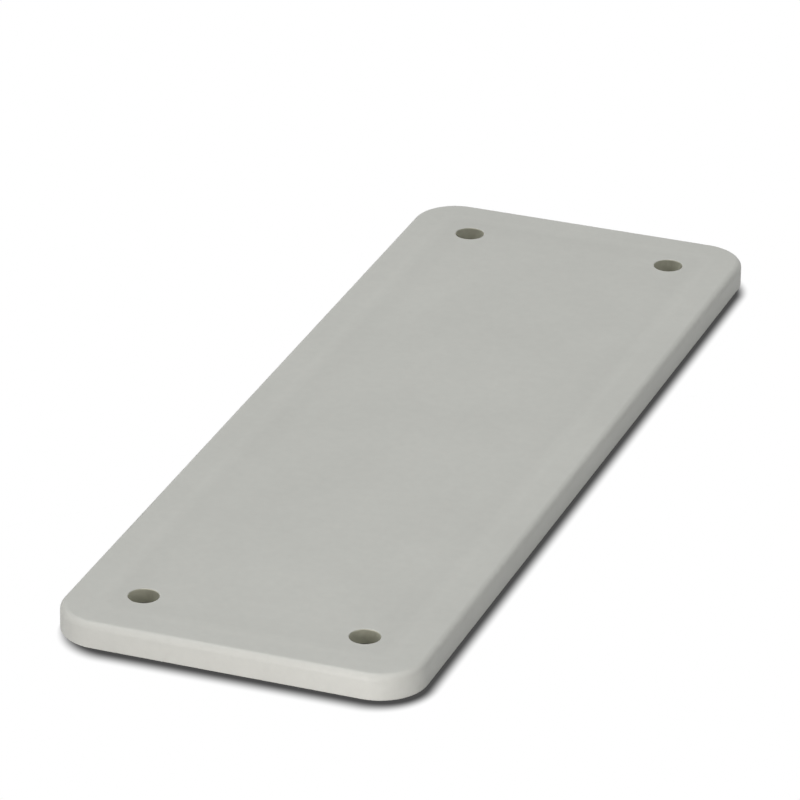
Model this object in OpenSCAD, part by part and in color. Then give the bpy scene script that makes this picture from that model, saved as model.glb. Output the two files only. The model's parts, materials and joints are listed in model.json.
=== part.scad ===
// Cover plate for an unused connector cut-out in a cabinet or housing wall.
// A flat moulded plate with four plain screw holes closes the cut-out, and a die-cut
// rubber seal lies in a recess under it. All sizes are in millimetres.
// X runs across the plate, Y along it and Z up. The origin is under the middle of the
// plate, on the plane of the wall that the seal stands on before it is squeezed.

/* [Plate] */
// Length of the plate
plate_l = 150.5; // [100:0.5:220]
// Width of the plate
plate_w = 52.5; // [44:0.5:90]
// Thickness of the plate at its rim
plate_t = 3.8; // [3:0.1:6]
// Radius of the plate's four corners, seen from above
corner_r = 6.8; // [4:0.1:12]
// Radius of the rounded top edge
top_edge_r = 1; // [0.2:0.1:1.4]
// Radius of the edge at the foot of the rim
foot_edge_r = 0.25; // [0.1:0.05:0.5]

/* [Screw holes] */
// Diameter of a screw hole in the plate
hole_d = 4.3; // [3.2:0.1:5.5]
// Distance from a hole's centre to each of the two plate edges beside it
hole_inset = 10.25; // [9:0.25:12]

/* [Recess under the plate] */
// Width of the solid rim around the recess
rim_w = 5.75; // [4.5:0.05:7]
// Depth of the recess, measured from the foot of the rim
recess_depth = 1.5; // [1:0.1:1.8]
// Radius of the recess's four corners, seen from below
recess_corner_r = 1.5; // [1:0.1:3]
// Radius where the wall of the recess turns into its floor
recess_floor_r = 0.25; // [0.1:0.05:0.4]

/* [Seal] */
// Height by which the unsqueezed seal stands out below the rim
seal_proud = 0.5; // [0.3:0.1:0.8]
// Clearance between the seal's outer edge and the wall of the recess
seal_gap = 0.3; // [0.2:0.05:0.5]
// Width of the seal's two long sides
seal_side_w = 3.2; // [2:0.1:6]
// Distance from a hole's centre to the end of the seal's opening
seal_land = 10; // [6:0.5:15]
// Radius of the corners of the seal's opening
seal_opening_r = 3; // [1:0.5:5]
// Diameter by which a hole in the seal is larger than the one in the plate
seal_hole_extra = 0.4; // [0.2:0.1:0.6]

/* [Hidden] */
$fn = 96;
// Length by which a cutting body runs past the face that it opens
cut_past = 1;
// Distances of the hole centres from the middle of the plate
hole_x = plate_w / 2 - hole_inset;
hole_y = plate_l / 2 - hole_inset;
// Size of the recess
recess_w = plate_w - 2 * rim_w;
recess_l = plate_l - 2 * rim_w;
// The seal clears the wall of the recess and the radius at its foot
seal_clearance = max(seal_gap, recess_floor_r);
seal_w = recess_w - 2 * seal_clearance;
seal_l = recess_l - 2 * seal_clearance;
seal_t = recess_depth + seal_proud;
seal_hole_d = hole_d + seal_hole_extra;
// Size of the opening in the seal
opening_w = seal_w - 2 * seal_side_w;
opening_l = 2 * (hole_y - seal_land);
// The four quarters of the plate, in the order in which a corner is turned into them
quarters = [[1, 1], [-1, 1], [-1, -1], [1, -1]];

// Section through an edge, from the middle of the body at x = 0 out to its side
module edge_section(reach, height, top_r, foot_r) {
    translate([0, foot_r]) square([reach, height - top_r - foot_r]);
    translate([0, foot_r]) square([reach - top_r, height - foot_r]);
    square([reach - foot_r, height - top_r]);
    translate([reach - top_r, height - top_r]) circle(r = top_r);
    if (foot_r > 0) translate([reach - foot_r, foot_r]) circle(r = foot_r);
}

// Straight bar with that section on both sides, lying along Y
module edged_bar(across, run, height, top_r, foot_r) {
    rotate([90, 0, 0]) linear_extrude(height = run, center = true)
        for (side = [0, 1])
            mirror([side, 0]) edge_section(across / 2, height, top_r, foot_r);
}

// Slab with round corners, whose edge section runs on around them
module edged_slab(width, length, height, plan_r, top_r, foot_r) {
    edged_bar(width, length - 2 * plan_r, height, top_r, foot_r);
    rotate([0, 0, 90]) edged_bar(length, width - 2 * plan_r, height, top_r, foot_r);
    for (i = [0 : 3])
        translate([quarters[i].x * (width / 2 - plan_r), quarters[i].y * (length / 2 - plan_r), 0])
            rotate([0, 0, 90 * i])
                rotate_extrude(angle = 90) edge_section(plan_r, height, top_r, foot_r);
}

// Flat outline with round corners
module round_plan(width, length, plan_r) {
    square([width - 2 * plan_r, length], center = true);
    square([width, length - 2 * plan_r], center = true);
    for (q = quarters)
        translate([q.x * (width / 2 - plan_r), q.y * (length / 2 - plan_r)]) circle(r = plan_r);
}

// Places what follows it at each of the four screws
module at_screws() {
    for (q = quarters) translate([q.x * hole_x, q.y * hole_y]) children();
}

// Moulded plate: a rim all round, the recess for the seal inside it, and the screw holes
module cover_plate() {
    color([0.72, 0.72, 0.70])
        translate([0, 0, seal_proud])
            difference() {
                edged_slab(plate_w, plate_l, plate_t, corner_r, top_edge_r, foot_edge_r);
                translate([0, 0, -cut_past])
                    edged_slab(recess_w, recess_l, recess_depth + cut_past, recess_corner_r,
                               recess_floor_r, 0);
                translate([0, 0, -cut_past]) at_screws()
                    cylinder(h = plate_t + 2 * cut_past, d = hole_d);
            }
}

// Seal cut from flat rubber sheet: a frame around the cut-out, holed for the screws
module flat_seal() {
    color([0.08, 0.08, 0.08])
        linear_extrude(height = seal_t)
            difference() {
                round_plan(seal_w, seal_l, recess_corner_r);
                round_plan(opening_w, opening_l, seal_opening_r);
                at_screws() circle(d = seal_hole_d);
            }
}

cover_plate();
flat_seal();
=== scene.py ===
# Studio view of a cover plate for a connector cut-out: a light grey moulding with its rubber
# seal, lying on a pale floor. Everything is in metres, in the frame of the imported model.
import json
import math

import bpy
from mathutils import Matrix, Vector


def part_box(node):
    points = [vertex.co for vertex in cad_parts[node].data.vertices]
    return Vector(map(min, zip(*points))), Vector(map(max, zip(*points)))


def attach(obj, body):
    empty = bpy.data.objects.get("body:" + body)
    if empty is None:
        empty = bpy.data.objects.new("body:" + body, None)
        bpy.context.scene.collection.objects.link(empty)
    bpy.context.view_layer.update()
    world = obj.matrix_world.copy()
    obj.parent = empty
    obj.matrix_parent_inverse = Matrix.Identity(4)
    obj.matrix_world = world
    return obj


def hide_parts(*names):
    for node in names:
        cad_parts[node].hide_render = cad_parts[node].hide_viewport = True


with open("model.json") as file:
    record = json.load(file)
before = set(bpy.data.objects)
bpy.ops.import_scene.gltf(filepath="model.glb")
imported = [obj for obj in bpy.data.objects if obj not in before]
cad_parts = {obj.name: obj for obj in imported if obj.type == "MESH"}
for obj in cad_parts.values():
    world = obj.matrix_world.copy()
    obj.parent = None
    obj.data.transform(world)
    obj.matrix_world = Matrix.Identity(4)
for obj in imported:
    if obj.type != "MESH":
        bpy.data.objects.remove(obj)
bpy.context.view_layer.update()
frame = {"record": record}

# The cover plate is one flat injection moulding in light grey plastic, with a fine matt grain.
# Its rounded edge runs on round the four corners, and a recess for the seal is moulded under it.
# It is screwed over a cut-out through its four plain holes, which are empty here.
MM = 0.001
plate_low, plate_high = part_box("cover_plate")
seal_low, seal_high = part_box("flat_seal")
mounts = {mount["name"]: mount for mount in frame["record"]["mounts"]}
screws = mounts["screw_holes"]["dims"]
screw_hole_radius = screws["hole_r_mm"] * MM
screw_spacing_across = screws["spacing_x_mm"] * MM
screw_spacing_along = screws["spacing_y_mm"] * MM
seal_clearance = 0.3 * MM
plate_sizes = {
    "Width": plate_high.x - plate_low.x,
    "Length": plate_high.y - plate_low.y,
    "Corner Radius": 6.8 * MM,
    "Top Height": plate_high.z,
    "Top Edge Radius": 1.0 * MM,
    "Foot Height": plate_low.z,
    "Foot Edge Radius": 0.25 * MM,
    "Recess Width": seal_high.x - seal_low.x + 2 * seal_clearance,
    "Recess Length": seal_high.y - seal_low.y + 2 * seal_clearance,
    "Recess Height": seal_high.z,
    "Recess Corner Radius": 1.5 * MM,
    "Recess Mouth Radius": 0.1 * MM,
    "Recess Floor Radius": 0.25 * MM,
    "Screw Hole Radius": screw_hole_radius,
    "Screw Hole Edge Radius": 0.16 * MM,
    "Screw Spacing Across": screw_spacing_across,
    "Screw Spacing Along": screw_spacing_along,
}
# Straight pieces in which a round corner, a rounded edge and a screw hole are drawn
corner_steps = 24
edge_steps = 8
hole_steps = 72
# Side of a wall's outline on which the flat at its end lies
outside = 1.0
inside = -1.0


def feed(tree, socket, value):
    """Gives an input its value, which is another node's output or a plain value."""
    if isinstance(value, bpy.types.NodeSocket):
        tree.links.new(value, socket)
    else:
        socket.default_value = value


def node(tree, kind, inputs=None, **options):
    """Adds a node to a tree, sets its options, and feeds its inputs."""
    made = tree.nodes.new(kind)
    for name, value in options.items():
        setattr(made, name, value)
    for key, value in (inputs or {}).items():
        feed(tree, made.inputs[key], value)
    return made


def calc(tree, operation, first, second=0.0):
    """One step of arithmetic between two numbers in a tree."""
    return node(tree, "ShaderNodeMath", {0: first, 1: second}, operation=operation).outputs[0]


def new_tree(name, kind, inputs, outputs):
    """A node tree with named inputs and outputs, and the sockets inside it that stand for them."""
    socket_types = {"number": "NodeSocketFloat", "count": "NodeSocketInt", "choice": "NodeSocketBool",
                    "place": "NodeSocketVector", "shape": "NodeSocketGeometry",
                    "material": "NodeSocketMaterial"}
    tree = bpy.data.node_groups.new(name, kind)
    for title, sort in inputs.items():
        tree.interface.new_socket(title, in_out="INPUT", socket_type=socket_types[sort])
    for title, sort in outputs.items():
        tree.interface.new_socket(title, in_out="OUTPUT", socket_type=socket_types[sort])
    return tree, tree.nodes.new("NodeGroupInput").outputs, tree.nodes.new("NodeGroupOutput").inputs


def pick_by_point(tree, data_type, choices):
    """A value that differs from point to point: the first choice at the first point, and so on."""
    index = node(tree, "GeometryNodeInputIndex").outputs[0]
    switch = node(tree, "GeometryNodeIndexSwitch", {"Index": index}, data_type=data_type)
    while len(switch.index_switch_items) < len(choices):
        switch.index_switch_items.new()
    for position, choice in enumerate(choices, start=1):
        feed(tree, switch.inputs[position], choice)
    return switch.outputs[0]


def wall_along_outline():
    """A wall that follows an outline from a start height to an end height. At each end it turns
    through a rounded edge into a narrow flat, outside the outline or inside it."""
    tree, given, result = new_tree(
        "wall along outline", "GeometryNodeTree",
        {"Outline": "shape", "Start Height": "number", "Start Radius": "number",
         "Start Side": "number", "End Height": "number", "End Radius": "number",
         "End Side": "number", "Edge Steps": "count", "Flat Width": "number"},
        {"Wall": "shape"})
    way = calc(tree, "SIGN", calc(tree, "SUBTRACT", given["End Height"], given["Start Height"]))
    start_reach = calc(tree, "ADD", given["Start Radius"], given["Flat Width"])
    end_reach = calc(tree, "ADD", given["End Radius"], given["Flat Width"])
    start_wall = calc(tree, "ADD", given["Start Height"], calc(tree, "MULTIPLY", way, start_reach))
    end_wall = calc(tree, "SUBTRACT", given["End Height"], calc(tree, "MULTIPLY", way, end_reach))
    # Each row is a point of the section: how far it lies outside the outline, its height, and
    # the radius that rounds it
    section = [
        (calc(tree, "MULTIPLY", given["Start Side"], start_reach), given["Start Height"], 0.0),
        (0.0, given["Start Height"], given["Start Radius"]),
        (0.0, start_wall, 0.0),
        (0.0, end_wall, 0.0),
        (0.0, given["End Height"], given["End Radius"]),
        (calc(tree, "MULTIPLY", given["End Side"], end_reach), given["End Height"], 0.0),
    ]
    places, radii = [], []
    for out, height, radius in section:
        # A swept section's X points out of the outline, and its Y points down
        down = calc(tree, "MULTIPLY", height, -1.0)
        places.append(node(tree, "ShaderNodeCombineXYZ", {"X": out, "Y": down}).outputs[0])
        radii.append(radius)
    points = node(tree, "GeometryNodeMeshLine", {"Count": len(section)}).outputs[0]
    placed = node(tree, "GeometryNodeSetPosition",
                  {"Geometry": points, "Position": pick_by_point(tree, "VECTOR", places)}).outputs[0]
    line = node(tree, "GeometryNodeMeshToCurve", {"Mesh": placed}).outputs[0]
    rounded = node(tree, "GeometryNodeFilletCurve",
                   {"Curve": line, "Count": given["Edge Steps"],
                    "Radius": pick_by_point(tree, "FLOAT", radii)}, mode="POLY").outputs[0]
    level = node(tree, "GeometryNodeSetCurveNormal", {"Curve": given["Outline"]}, mode="Z_UP").outputs[0]
    swept = node(tree, "GeometryNodeCurveToMesh", {"Curve": level, "Profile Curve": rounded}).outputs[0]
    tree.links.new(swept, result["Wall"])
    return tree


def flat_between_walls():
    """The flat face that closes the open ends of walls at one height, with their holes left open."""
    tree, given, result = new_tree(
        "flat between walls", "GeometryNodeTree",
        {"Walls": "shape", "Height": "number", "Faces Down": "choice"}, {"Flat": "shape"})
    height_slack = 0.01 * MM
    place = node(tree, "GeometryNodeInputPosition").outputs[0]
    height = node(tree, "ShaderNodeSeparateXYZ", {"Vector": place}).outputs["Z"]
    off = calc(tree, "ABSOLUTE", calc(tree, "SUBTRACT", height, given["Height"]))
    at_height = node(tree, "FunctionNodeCompare", {"A": off, "B": height_slack},
                     operation="LESS_THAN").outputs[0]
    # An edge at an open end has one face beside it, and any other edge has two
    one_or_two = 1.5
    faces_beside = node(tree, "GeometryNodeInputMeshEdgeNeighbors").outputs[0]
    at_open_end = node(tree, "FunctionNodeCompare", {"A": faces_beside, "B": one_or_two},
                       operation="LESS_THAN").outputs[0]
    chosen = node(tree, "FunctionNodeBooleanMath", {0: at_height, 1: at_open_end},
                  operation="AND").outputs[0]
    loops = node(tree, "GeometryNodeMeshToCurve",
                 {"Mesh": given["Walls"], "Selection": chosen}).outputs[0]
    filled = node(tree, "GeometryNodeFillCurve", {"Curve": loops}, mode="TRIANGLES").outputs[0]
    lift = node(tree, "ShaderNodeCombineXYZ", {"Z": given["Height"]}).outputs[0]
    lifted = node(tree, "GeometryNodeTransform", {"Geometry": filled, "Translation": lift}).outputs[0]
    turned = node(tree, "GeometryNodeFlipFaces",
                  {"Mesh": lifted, "Selection": given["Faces Down"]}).outputs[0]
    tree.links.new(turned, result["Flat"])
    return tree


wall_group = wall_along_outline()
flat_group = flat_between_walls()


def round_rectangle(tree, width, length, radius):
    """The outline of a rectangle with rounded corners."""
    square = node(tree, "GeometryNodeCurvePrimitiveQuadrilateral",
                  {"Width": width, "Height": length}).outputs[0]
    return node(tree, "GeometryNodeFilletCurve",
                {"Curve": square, "Count": corner_steps, "Radius": radius}, mode="POLY").outputs[0]


def wall(tree, outline, start, end):
    """A wall along an outline. Start and end are each a height, an edge radius and a side."""
    flat_width = 0.04 * MM
    return node(tree, "GeometryNodeGroup",
                {"Outline": outline, "Start Height": start[0], "Start Radius": start[1],
                 "Start Side": start[2], "End Height": end[0], "End Radius": end[1],
                 "End Side": end[2], "Edge Steps": edge_steps, "Flat Width": flat_width},
                node_tree=wall_group).outputs[0]


def walls_at_screws(tree, given, start, end):
    """The wall of a round hole, repeated at the four screws."""
    circle = node(tree, "GeometryNodeCurvePrimitiveCircle",
                  {"Resolution": hole_steps, "Radius": given["Screw Hole Radius"]}).outputs[0]
    spots = node(tree, "GeometryNodeMeshGrid",
                 {"Size X": given["Screw Spacing Across"], "Size Y": given["Screw Spacing Along"],
                  "Vertices X": 2, "Vertices Y": 2}).outputs[0]
    bored = node(tree, "GeometryNodeInstanceOnPoints",
                 {"Points": spots, "Instance": wall(tree, circle, start, end)}).outputs[0]
    return node(tree, "GeometryNodeRealizeInstances", {"Geometry": bored}).outputs[0]


def close_flats(tree, walls, flats):
    """Joins walls, closes them with flat faces and welds the lot. Each flat is its height and
    whether it faces down."""
    joined = node(tree, "GeometryNodeJoinGeometry")
    for part in reversed(walls):
        tree.links.new(part, joined.inputs[0])
    whole = node(tree, "GeometryNodeJoinGeometry")
    for height, faces_down in flats:
        flat = node(tree, "GeometryNodeGroup",
                    {"Walls": joined.outputs[0], "Height": height, "Faces Down": faces_down},
                    node_tree=flat_group).outputs[0]
        tree.links.new(flat, whole.inputs[0])
    tree.links.new(joined.outputs[0], whole.inputs[0])
    weld_distance = 0.001 * MM
    welded = node(tree, "GeometryNodeMergeByDistance",
                  {"Geometry": whole.outputs[0], "Distance": weld_distance}).outputs[0]
    return node(tree, "GeometryNodeSetShadeSmooth", {"Geometry": welded}).outputs[0]


def finish_piece(tree, result, shape, material):
    """Ends a piece's tree with the two nodes that make it a plain mesh with its own finish."""
    real = node(tree, "GeometryNodeRealizeInstances", {"Geometry": shape}).outputs[0]
    painted = node(tree, "GeometryNodeSetMaterial", {"Geometry": real, "Material": material}).outputs[0]
    tree.links.new(painted, result["Geometry"])


def cover_plate_tree():
    """The plate: its outer wall, the wall of the recess, the four bores, and the flats between them."""
    tree, given, result = new_tree(
        "cover plate", "GeometryNodeTree",
        dict.fromkeys(plate_sizes, "number") | {"Finish": "material"}, {"Geometry": "shape"})
    rim_outline = round_rectangle(tree, given["Width"], given["Length"], given["Corner Radius"])
    rim = wall(tree, rim_outline,
               (given["Top Height"], given["Top Edge Radius"], inside),
               (given["Foot Height"], given["Foot Edge Radius"], inside))
    recess_outline = round_rectangle(tree, given["Recess Width"], given["Recess Length"],
                                     given["Recess Corner Radius"])
    recess = wall(tree, recess_outline,
                  (given["Foot Height"], given["Recess Mouth Radius"], outside),
                  (given["Recess Height"], given["Recess Floor Radius"], inside))
    bores = walls_at_screws(tree, given,
                            (given["Recess Height"], given["Screw Hole Edge Radius"], outside),
                            (given["Top Height"], given["Screw Hole Edge Radius"], outside))
    shape = close_flats(tree, [rim, recess, bores],
                        [(given["Top Height"], False), (given["Foot Height"], True),
                         (given["Recess Height"], True)])
    finish_piece(tree, result, shape, given["Finish"])
    return tree


def rounded_distance_group():
    """Distance in millimetres from the outline of a round-cornered rectangle, negative inside it,
    and the share of it that lies along the rectangle: 1 off its ends, 0 off its long sides."""
    tree, given, result = new_tree(
        "distance from rounded outline", "ShaderNodeTree",
        {"Place": "place", "Width": "number", "Length": "number", "Corner Radius": "number"},
        {"Distance": "number", "Lengthwise": "number"})
    apart = node(tree, "ShaderNodeSeparateXYZ", {"Vector": given["Place"]}).outputs
    over = []
    for axis, size in (("X", "Width"), ("Y", "Length")):
        half = calc(tree, "MULTIPLY", given[size], 0.5)
        straight = calc(tree, "SUBTRACT", half, given["Corner Radius"])
        over.append(calc(tree, "SUBTRACT", calc(tree, "ABSOLUTE", apart[axis]), straight))
    past = [calc(tree, "MAXIMUM", side, 0.0) for side in over]
    squares = [calc(tree, "MULTIPLY", side, side) for side in past]
    both = calc(tree, "ADD", squares[0], squares[1])
    beyond = calc(tree, "SQRT", both)
    within = calc(tree, "MINIMUM", calc(tree, "MAXIMUM", over[0], over[1]), 0.0)
    distance = calc(tree, "SUBTRACT", calc(tree, "ADD", beyond, within), given["Corner Radius"])
    tree.links.new(distance, result["Distance"])
    never_zero = 1e-6
    lengthwise = calc(tree, "DIVIDE", squares[1], calc(tree, "MAXIMUM", both, never_zero))
    tree.links.new(lengthwise, result["Lengthwise"])
    return tree


def surface_grain_group():
    """Fine grain, soft mottling and wide soft clouds on a surface, by place in millimetres."""
    tree, given, result = new_tree(
        "surface grain", "ShaderNodeTree",
        {"Place": "place", "Grain Size": "number", "Mottle Size": "number"},
        {"Grain": "number", "Mottle": "number", "Cloud": "number"})
    grits_in_pit = 1.7
    pit_share = 0.6
    grit_share = 0.6
    mottles_in_cloud = 12.0
    grain_scale = calc(tree, "DIVIDE", 1.0, given["Grain Size"])
    grit_scale = calc(tree, "MULTIPLY", grain_scale, grits_in_pit)
    mottle_scale = calc(tree, "DIVIDE", 1.0, given["Mottle Size"])
    cloud_scale = calc(tree, "DIVIDE", mottle_scale, mottles_in_cloud)
    pits = node(tree, "ShaderNodeTexVoronoi", {"Vector": given["Place"], "Scale": grain_scale},
                feature="SMOOTH_F1").outputs["Distance"]
    grit = node(tree, "ShaderNodeTexNoise",
                {"Vector": given["Place"], "Scale": grit_scale, "Detail": 3.0}).outputs[0]
    grain = calc(tree, "ADD", calc(tree, "MULTIPLY", pits, pit_share),
                 calc(tree, "MULTIPLY", grit, grit_share))
    tree.links.new(grain, result["Grain"])
    for title, scale in (("Mottle", mottle_scale), ("Cloud", cloud_scale)):
        soft = node(tree, "ShaderNodeTexNoise",
                    {"Vector": given["Place"], "Scale": scale, "Detail": 4.0, "Roughness": 0.55})
        tree.links.new(soft.outputs[0], result[title])
    return tree


distance_group = rounded_distance_group()
grain_group = surface_grain_group()


def distance_from(tree, place, width, length, corner_radius):
    """Places the group that measures from a round-cornered rectangle, whose sizes are in metres."""
    return node(tree, "ShaderNodeGroup",
                {"Place": place, "Width": width / MM, "Length": length / MM,
                 "Corner Radius": corner_radius / MM}, node_tree=distance_group).outputs


def scaled(tree, vector, factor):
    """A place or a colour, times a number."""
    return node(tree, "ShaderNodeVectorMath", {0: vector, "Scale": factor}, operation="SCALE").outputs[0]


def new_material(name):
    """A material with only its Principled shader, and the place on the piece in millimetres."""
    material = bpy.data.materials.new(name)
    material.use_nodes = True
    tree = material.node_tree
    shader = tree.nodes["Principled BSDF"]
    place = node(tree, "ShaderNodeTexCoord").outputs["Object"]
    return material, tree, shader, scaled(tree, place, 1 / MM)


def mixed_colour(tree, share, first, second):
    """A colour that goes from the first to the second as the share goes from 0 to 1."""
    return node(tree, "ShaderNodeMix", {0: share, 6: first, 7: second}, data_type="RGBA").outputs[2]


def around_one(tree, pattern, strength):
    """A tone that a pattern from 0 to 1 sways around 1."""
    sway = calc(tree, "MULTIPLY", calc(tree, "SUBTRACT", pattern, 0.5), strength)
    return calc(tree, "ADD", sway, 1.0)


def facing_up(tree):
    """How far the surface faces up: 1 on a level face, 0 on an upright wall, -1 on an underside."""
    normal = node(tree, "ShaderNodeNewGeometry").outputs["Normal"]
    return node(tree, "ShaderNodeSeparateXYZ", {"Vector": normal}).outputs["Z"]


def roughen(tree, shader, grain, roughness, mottled_roughness, bump_strength):
    """Gives a shader its roughness, with more of it where the mottling is light, and its grain."""
    grain_depth = 0.03 * MM
    mottled = calc(tree, "MULTIPLY", grain["Mottle"], mottled_roughness)
    tree.links.new(calc(tree, "ADD", mottled, roughness), shader.inputs["Roughness"])
    bump = node(tree, "ShaderNodeBump",
                {"Height": grain["Grain"], "Strength": bump_strength, "Distance": grain_depth})
    tree.links.new(bump.outputs[0], shader.inputs["Normal"])


def tone_over_step(tree, place):
    """The top face is a shade lighter over the solid rim and a shade darker just inside the step
    of the recess, where the moulding has sunk a little. Other faces have a tone of 1."""
    # Each row is a distance inside the step in millimetres, and the tone there
    step_tones = [(-3.0, 1.0), (-2.0, 1.002), (-1.0, 1.017), (0.0, 1.0), (1.0, 0.979),
                  (2.2, 0.983), (5.0, 1.0)]
    first = step_tones[0][0]
    last = step_tones[-1][0]
    darkest = 0.95
    lightest = 1.05
    level_enough = 0.98
    step = distance_from(tree, place, plate_sizes["Recess Width"], plate_sizes["Recess Length"],
                         plate_sizes["Recess Corner Radius"])["Distance"]
    along = node(tree, "ShaderNodeMapRange",
                 {"Value": calc(tree, "MULTIPLY", step, -1.0), "From Min": first, "From Max": last})
    ramp = node(tree, "ShaderNodeValToRGB", {"Fac": along.outputs[0]})
    ramp.color_ramp.interpolation = "EASE"
    while len(ramp.color_ramp.elements) < len(step_tones):
        ramp.color_ramp.elements.new(0.5)
    for stop, (distance, tone) in zip(ramp.color_ramp.elements, step_tones):
        stop.position = (distance - first) / (last - first)
        shade = (tone - darkest) / (lightest - darkest)
        stop.color = (shade, shade, shade, 1.0)
    step_tone = node(tree, "ShaderNodeMapRange",
                     {"Value": ramp.outputs[0], "To Min": darkest, "To Max": lightest}).outputs[0]
    on_top = calc(tree, "GREATER_THAN", facing_up(tree), level_enough)
    change = calc(tree, "MULTIPLY", calc(tree, "SUBTRACT", step_tone, 1.0), on_top)
    return calc(tree, "ADD", change, 1.0)


def mask_of_bores(tree, place):
    """1 on the walls of the four screw holes, and 0 elsewhere."""
    mask_margin = 0.02 * MM
    apart = node(tree, "ShaderNodeSeparateXYZ", {"Vector": place}).outputs
    squares = []
    for axis, spacing in (("X", screw_spacing_across), ("Y", screw_spacing_along)):
        off = calc(tree, "SUBTRACT", calc(tree, "ABSOLUTE", apart[axis]), spacing / MM / 2)
        squares.append(calc(tree, "MULTIPLY", off, off))
    from_screw = calc(tree, "SQRT", calc(tree, "ADD", squares[0], squares[1]))
    return calc(tree, "LESS_THAN", from_screw, (screw_hole_radius + mask_margin) / MM)


def grey_moulded_plastic():
    """Light grey plastic from a spark-eroded mould, softly mottled. Its bores are painted lighter and
    yellower than its faces, as painted light in the holes."""
    material, tree, shader, place = new_material("grey_moulded_plastic")
    plastic_grey = (0.552, 0.557, 0.522)
    # Painted light: the bores are made lighter and yellower than the faces
    painted_bore_light = (1.16, 1.143, 1.0)
    mottle_strength = 0.1
    cloud_strength = 0.13
    grain = node(tree, "ShaderNodeGroup", {"Place": place, "Grain Size": 0.22, "Mottle Size": 1.3},
                 node_tree=grain_group).outputs
    mottling = calc(tree, "MULTIPLY", around_one(tree, grain["Mottle"], mottle_strength),
                    around_one(tree, grain["Cloud"], cloud_strength))
    tone = calc(tree, "MULTIPLY", mottling, tone_over_step(tree, place))
    face_colour = scaled(tree, plastic_grey, tone)
    bore_colour_with_painted_light = node(tree, "ShaderNodeVectorMath", {0: face_colour, 1: painted_bore_light},
                       operation="MULTIPLY").outputs[0]
    colour = mixed_colour(tree, mask_of_bores(tree, place), face_colour, bore_colour_with_painted_light)
    tree.links.new(colour, shader.inputs["Base Color"])
    roughen(tree, shader, grain, roughness=0.5, mottled_roughness=0.12, bump_strength=0.5)
    return material


def piece_from_tree(name, tree, inputs):
    """Runs a tree with its named inputs and keeps what it makes as a plain mesh."""
    carrier = bpy.data.objects.new(name, bpy.data.meshes.new(name))
    bpy.context.scene.collection.objects.link(carrier)
    modifier = carrier.modifiers.new(name, "NODES")
    modifier.node_group = tree
    sockets = [item for item in tree.interface.items_tree if item.in_out == "INPUT"]
    identifiers = {socket.name: socket.identifier for socket in sockets}
    for title, value in inputs.items():
        modifier[identifiers[title]] = value
    evaluated = carrier.evaluated_get(bpy.context.evaluated_depsgraph_get())
    made = bpy.data.meshes.new_from_object(evaluated)
    carrier.modifiers.remove(modifier)
    # The first material slot is the carrier's own empty one
    made.materials.pop(index=0)
    made.name = name
    carrier.data = made
    return carrier


plate = piece_from_tree("moulded_plate", cover_plate_tree(),
                        plate_sizes | {"Finish": grey_moulded_plastic()})
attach(plate, "root")
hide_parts("cover_plate")

# The seal is a frame die-cut from flat black sheet rubber, stuck into the recess of the plate.
# It runs round the cut-out in the wall, and its four holes clear the screws.
# Not yet squeezed, it stands out a little below the plate's rim, so the plate lies on it.
seal_side_width = 3.2 * MM
# Distance along the plate from a screw to the end of the seal's opening
seal_land = 10.0 * MM
seal_hole_clearance = 0.2 * MM
seal_sizes = {
    "Width": seal_high.x - seal_low.x,
    "Length": seal_high.y - seal_low.y,
    "Corner Radius": 1.5 * MM,
    "Top Height": seal_high.z,
    "Bottom Height": seal_low.z,
    "Opening Width": seal_high.x - seal_low.x - 2 * seal_side_width,
    "Opening Length": screw_spacing_along - 2 * seal_land,
    "Opening Corner Radius": 3.0 * MM,
    "Screw Hole Radius": screw_hole_radius + seal_hole_clearance,
    "Screw Spacing Across": screw_spacing_across,
    "Screw Spacing Along": screw_spacing_along,
    "Cut Edge Radius": 0.06 * MM,
}


def rubber_seal_tree():
    """The seal: the cut walls of its outside, its opening and its four holes, and its two faces."""
    tree, given, result = new_tree(
        "rubber seal", "GeometryNodeTree",
        dict.fromkeys(seal_sizes, "number") | {"Finish": "material"}, {"Geometry": "shape"})
    outline = round_rectangle(tree, given["Width"], given["Length"], given["Corner Radius"])
    outer = wall(tree, outline,
                 (given["Top Height"], given["Cut Edge Radius"], inside),
                 (given["Bottom Height"], given["Cut Edge Radius"], inside))
    opening_outline = round_rectangle(tree, given["Opening Width"], given["Opening Length"],
                                      given["Opening Corner Radius"])
    opening = wall(tree, opening_outline,
                   (given["Bottom Height"], given["Cut Edge Radius"], outside),
                   (given["Top Height"], given["Cut Edge Radius"], outside))
    holes = walls_at_screws(tree, given,
                            (given["Bottom Height"], given["Cut Edge Radius"], outside),
                            (given["Top Height"], given["Cut Edge Radius"], outside))
    shape = close_flats(tree, [outer, opening, holes],
                        [(given["Top Height"], False), (given["Bottom Height"], True)])
    finish_piece(tree, result, shape, given["Finish"])
    return tree


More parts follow.
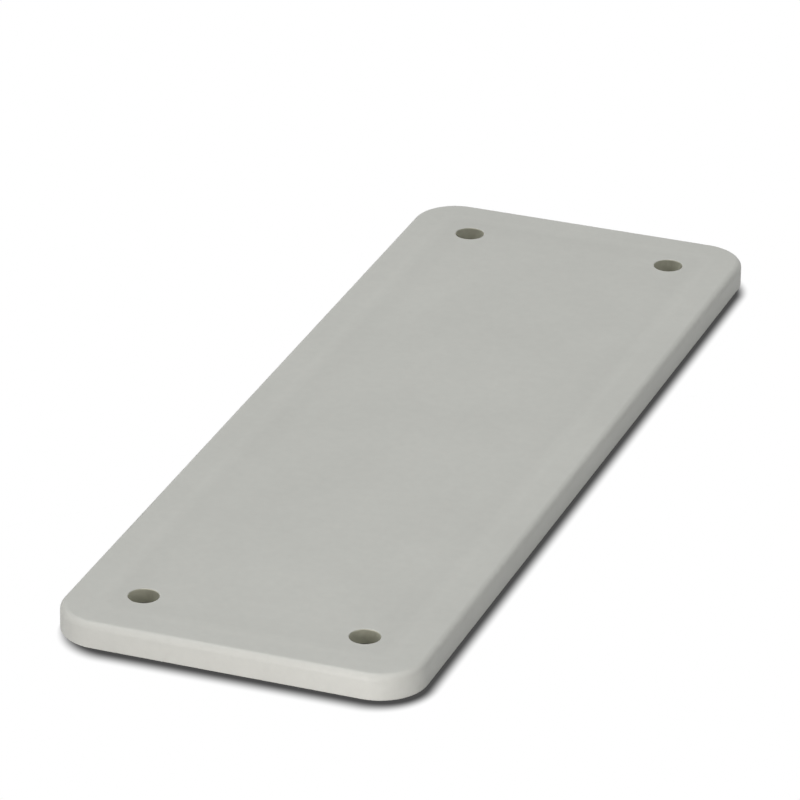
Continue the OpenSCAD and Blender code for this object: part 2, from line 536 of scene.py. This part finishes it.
def black_sheet_rubber():
    """Matt black sheet rubber, with a faint grey bloom, and its cut sides painted lighter as a sheen."""
    material, tree, shader, place = new_material("black_sheet_rubber")
    rubber_black = (0.014, 0.014, 0.015, 1.0)
    bloom_and_sheen_grey = (0.05, 0.05, 0.048, 1.0)
    upright_enough = 0.5
    # Painted sheen: the upright cut sides are made a lighter grey
    cut_side_painted_sheen = 0.2
    grain = node(tree, "ShaderNodeGroup", {"Place": place, "Grain Size": 0.35, "Mottle Size": 2.2},
                 node_tree=grain_group).outputs
    cut_side = calc(tree, "LESS_THAN", calc(tree, "ABSOLUTE", facing_up(tree)), upright_enough)
    face_bloom = calc(tree, "MULTIPLY", grain["Mottle"], grain["Cloud"])
    bloom_and_painted_sheen = calc(tree, "ADD", face_bloom, calc(tree, "MULTIPLY", cut_side, cut_side_painted_sheen))
    tree.links.new(mixed_colour(tree, bloom_and_painted_sheen, rubber_black, bloom_and_sheen_grey), shader.inputs["Base Color"])
    roughen(tree, shader, grain, roughness=0.6, mottled_roughness=0.2, bump_strength=0.3)
    return material


seal = piece_from_tree("rubber_seal", rubber_seal_tree(), seal_sizes | {"Finish": black_sheet_rubber()})
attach(seal, "root")
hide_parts("flat_seal")

# The studio floor is plain and pale, and goes on as the white backdrop. The camera sees it white,
# but for the plate's soft shadow, which is painted on it: a narrow dark line along its front and
# right sides, and a thin painted shade all round where its rim nearly touches the floor.
floor_size = 6.0
floor_drop = 0.02 * MM
floor_colour = (0.72, 0.72, 0.72, 1.0)
floor_roughness = 0.9
# The painted shadow has the plate's outline, shifted and with rounder corners
shadow_shift = (0.738 * MM, -1.048 * MM, 0.0)
shadow_corner_radius = 7.86 * MM
# Distances in millimetres from that outline at which the shadow is darkest and at which it ends,
# each off the plate's long sides and off its ends
shadow_darkest_at = (-0.766, -1.541)
shadow_ends_at = (1.224, 1.649)
shadow_tone = 0.072
contact_reach = 0.8 * MM
contact_samples = 16


def seen_directly(tree):
    """1 for what the camera sees, straight or mirrored or through glass, and 0 for scattered light."""
    ray = node(tree, "ShaderNodeLightPath").outputs
    mirrored = calc(tree, "MAXIMUM", ray["Is Glossy Ray"], ray["Is Transmission Ray"])
    return calc(tree, "MAXIMUM", ray["Is Camera Ray"], mirrored)


def white_when_seen(tree, lit_shader, white_shader, output):
    """Shows one shader to the light and the other to the camera."""
    mixed = node(tree, "ShaderNodeMixShader", {0: seen_directly(tree), 1: lit_shader, 2: white_shader})
    tree.links.new(mixed.outputs[0], tree.nodes[output].inputs["Surface"])


def studio_floor_finish():
    """Pale matt floor for the light; to the camera white, with a painted shadow at the plate's foot."""
    material, tree, pale, place = new_material("studio_floor")
    pale.inputs["Base Color"].default_value = floor_colour
    pale.inputs["Roughness"].default_value = floor_roughness
    pale.inputs["Specular IOR Level"].default_value = 0.0
    shift_mm = [step / MM for step in shadow_shift]
    shifted = node(tree, "ShaderNodeVectorMath", {0: place, 1: shift_mm}, operation="SUBTRACT").outputs[0]
    beyond = distance_from(tree, shifted, plate_sizes["Width"], plate_sizes["Length"],
                           shadow_corner_radius)
    limits = []
    for off_side, off_end in (shadow_darkest_at, shadow_ends_at):
        change = calc(tree, "MULTIPLY", beyond["Lengthwise"], off_end - off_side)
        limits.append(calc(tree, "ADD", change, off_side))
    # Painted shadow, drawn from the distance to the shifted outline and cast by no lamp
    painted_shadow = node(tree, "ShaderNodeMapRange",
                {"Value": beyond["Distance"], "From Min": limits[0], "From Max": limits[1],
                 "To Min": shadow_tone}, interpolation_type="SMOOTHSTEP").outputs[0]
    # Painted shade where the rim nearly touches the floor, darker where the plate hides the room
    painted_contact_shade = node(tree, "ShaderNodeAmbientOcclusion", {"Distance": contact_reach},
                   samples=contact_samples).outputs["AO"]
    tone = calc(tree, "MAXIMUM", calc(tree, "MINIMUM", painted_shadow, painted_contact_shade), shadow_tone)
    shown = node(tree, "ShaderNodeEmission", {"Color": tone, "Strength": 1.0}).outputs[0]
    white_when_seen(tree, pale.outputs[0], shown, "Material Output")
    return material


floor_mesh = bpy.data.meshes.new("studio_floor")
half_floor = floor_size / 2
floor_mesh.from_pydata(
    [(-half_floor, -half_floor, -floor_drop), (half_floor, -half_floor, -floor_drop),
     (half_floor, half_floor, -floor_drop), (-half_floor, half_floor, -floor_drop)],
    [], [(0, 1, 2, 3)])
floor_mesh.materials.append(studio_floor_finish())
floor = bpy.data.objects.new("studio_floor", floor_mesh)
bpy.context.scene.collection.objects.link(floor)

# The light is soft and plain: an even pale room, low panels in front of the plate that light its
# front side, a small one of them close to its right end, and panels high up at the plate's right
# and left. Little of the light reaches its right side.
room_light = 0.15
white = (1.0, 1.0, 1.0)
warm_white = (1.035, 1.0, 0.99)
panels = [
    # Name, azimuth from the right of the plate and elevation in degrees, distance, width and
    # height in metres, brightness, and colour
    ("front_panel", -90.0, 2.0, 0.9, 0.15, 0.06, 88.0, warm_white),
    ("front_right_panel", -80.0, 4.0, 0.14, 0.03, 0.03, 4.9, warm_white),
    ("front_upper_panel", -95.0, 20.0, 0.9, 0.15, 0.14, 6.2, warm_white),
    ("upper_right_panel", 0.0, 60.0, 0.9, 0.4, 0.4, 3.1, white),
    ("upper_left_panel", 180.0, 70.0, 0.9, 0.3, 0.3, 13.5, white),
]


def studio_room():
    """An even room, white to the camera."""
    world = bpy.data.worlds.new("studio_room")
    bpy.context.scene.world = world
    world.use_nodes = True
    tree = world.node_tree
    room = tree.nodes["Background"]
    room.inputs["Color"].default_value = (*white, 1.0)
    room.inputs["Strength"].default_value = room_light
    backdrop = node(tree, "ShaderNodeBackground", {"Color": (*white, 1.0), "Strength": 1.0})
    white_when_seen(tree, room.outputs[0], backdrop.outputs[0], "World Output")


def light_panel(name, azimuth, elevation, distance, width, height, brightness, colour):
    """A flat soft lamp that faces the middle of the plate. Its brightness is given as times white."""
    lamp = bpy.data.lights.new(name, "AREA")
    lamp.shape = "RECTANGLE"
    lamp.size = width
    lamp.size_y = height
    lamp.energy = brightness * math.pi * width * height
    lamp.color = colour
    turn, rise = math.radians(azimuth), math.radians(elevation)
    direction = Vector((math.cos(turn) * math.cos(rise), math.sin(turn) * math.cos(rise), math.sin(rise)))
    facing = direction.to_track_quat("Z", "Y").to_matrix().to_4x4()
    panel = bpy.data.objects.new(name, lamp)
    panel.visible_camera = False
    panel.matrix_world = Matrix.Translation(direction * distance) @ facing
    bpy.context.scene.collection.objects.link(panel)


studio_room()
for panel_values in panels:
    light_panel(*panel_values)

# The camera stands to the right of the plate's front end and looks down on it through a long lens.
aim_point = Vector((-5.23 * MM, 5.39 * MM, plate_high.z))
camera_distance = 875.05 * MM
camera_azimuth = 20.114
camera_elevation = 25.524
camera_roll = 0.7371
# The lens and the sensor are in the millimetres that a camera's own settings use
lens_length = 272.39
sensor_width = 36.0
nearest_seen = 10.0 * MM


def studio_camera():
    """The camera, placed by its angles around the point that it looks at."""
    settings = bpy.data.cameras.new("studio_camera")
    settings.lens = lens_length
    settings.sensor_width = sensor_width
    settings.clip_start = nearest_seen
    turn, rise = math.radians(camera_azimuth), math.radians(camera_elevation)
    back = Vector((math.sin(turn) * math.cos(rise), -math.cos(turn) * math.cos(rise), math.sin(rise)))
    level = back.to_track_quat("Z", "Y").to_matrix()
    rolled = level @ Matrix.Rotation(math.radians(camera_roll), 3, "Z")
    camera = bpy.data.objects.new("studio_camera", settings)
    camera.matrix_world = Matrix.Translation(aim_point + back * camera_distance) @ rolled.to_4x4()
    bpy.context.scene.collection.objects.link(camera)
    bpy.context.scene.camera = camera


studio_camera()
bpy.context.scene.view_settings.view_transform = "Standard"
